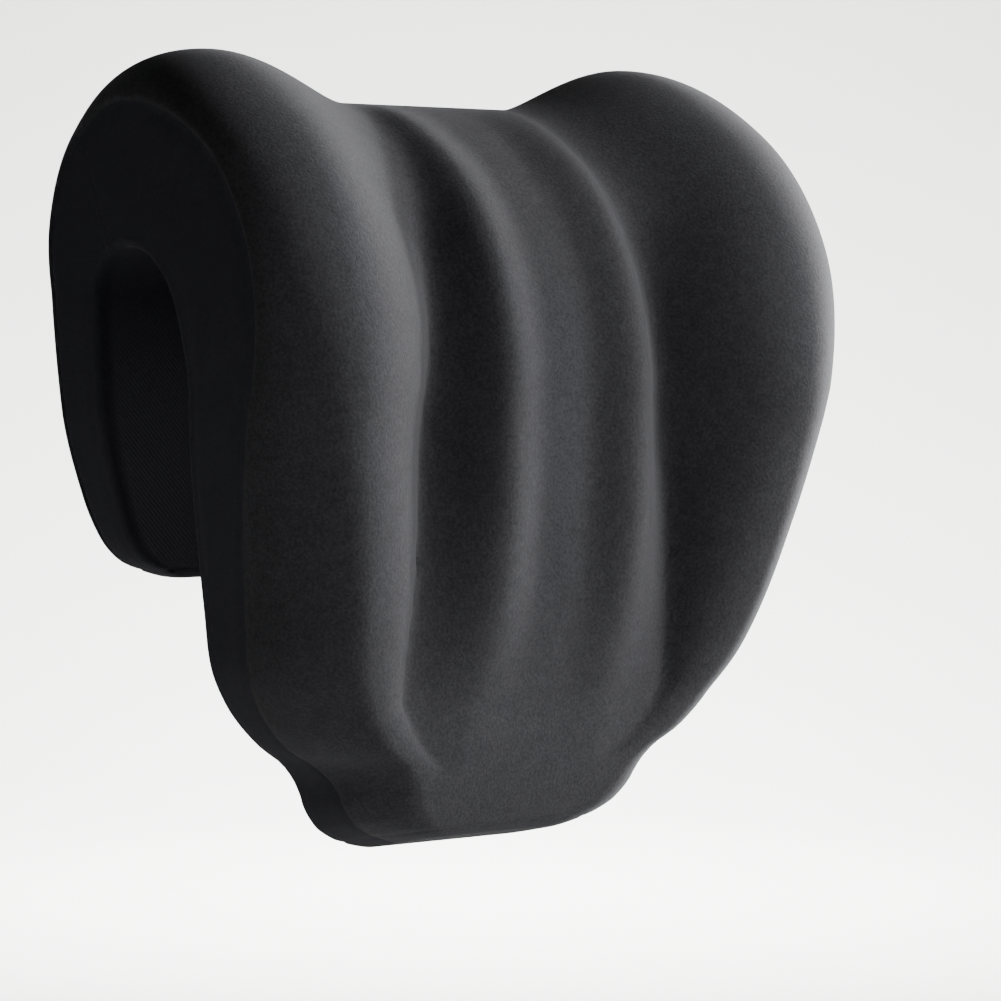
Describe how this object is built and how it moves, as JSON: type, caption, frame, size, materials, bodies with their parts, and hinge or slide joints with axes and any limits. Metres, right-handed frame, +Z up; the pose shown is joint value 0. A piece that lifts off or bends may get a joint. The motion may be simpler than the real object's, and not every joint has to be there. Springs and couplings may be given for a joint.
{
  "type": "chair headrest pad",
  "caption": "Winged memory-foam headrest pad in a knitted cover that clips over the top of an office chair's back with a sprung rear flap.",
  "frame": {"origin": "middle of the slot's ceiling, where the top edge of the chair's back bears", "axes": "+Z up, -Y towards the sitter's head, +Y behind the chair, +X to the right seen from the front"},
  "size_m": [0.272, 0.1463, 0.2846],
  "materials": {
    "cover_knit": "matt charcoal short-nap knit",
    "liner_knit": "matt charcoal warp knit",
    "foam": "open-cell slow-recovery foam",
    "spring_steel": "oiled spring steel",
    "rivet_steel": "flush rivets",
    "zip_tape": "woven black tape",
    "zip_teeth": "moulded black teeth",
    "zip_metal": "black lacquered zinc"
  },
  "bodies": {
    "pad": {"clamp_front_plate": "spring_steel", "clamp_rivets_front": "rivet_steel", "clamp_strip_left": "spring_steel", "clamp_strip_right": "spring_steel", "cover_bend_panel": "cover_knit", "cover_face_panel": "cover_knit", "cover_tab_strip": "cover_knit", "foam_bend": "foam", "foam_crown": "foam", "foam_front_pad": "foam", "gusset_left_bend": "cover_knit", "gusset_left_front": "cover_knit", "gusset_right_bend": "cover_knit", "gusset_right_front": "cover_knit", "liner_bend": "liner_knit", "liner_ceiling": "liner_knit", "liner_front_lower": "liner_knit", "liner_front_upper": "liner_knit", "zip_end_stops": "zip_metal", "zip_tape_lower": "zip_tape", "zip_tape_upper": "zip_tape", "zip_teeth_lower": "zip_teeth", "zip_teeth_upper": "zip_teeth"},
    "flap": {"clamp_rear_plate": "spring_steel", "clamp_rivets_rear": "rivet_steel", "cover_flap_panel": "cover_knit", "cover_flap_strip": "cover_knit", "foam_flap": "foam", "gusset_left_flap": "cover_knit", "gusset_right_flap": "cover_knit", "liner_flap": "liner_knit"},
    "slider": {"zip_slider": "zip_metal"},
    "pull": {"zip_pull": "zip_metal"}
  },
  "joints": [
    {"name": "flap_open", "type": "hinge", "parent": "pad", "child": "flap", "pos_m": [0, 0.01476, -0.00503], "axis": [1, 0, 0], "range_deg": [0, 15], "stiffness_Nm_per_rad": 2.5, "springref_deg": -5.73, "deforming": ["foam_bend", "cover_bend_panel", "gusset_left_bend", "gusset_right_bend", "liner_bend", "clamp_strip_left", "clamp_strip_right"]},
    {"name": "zip_slide", "type": "slide", "parent": "pad", "child": "slider", "axis": [-1, 0, 0], "range_m": [0, 0.1604]},
    {"name": "pull_swing", "type": "hinge", "parent": "slider", "child": "pull", "pos_m": [0.0802, -0.01292, -0.13167], "axis": [0, 0.1961, -0.9806], "range_deg": [0, 150]}
  ]
}
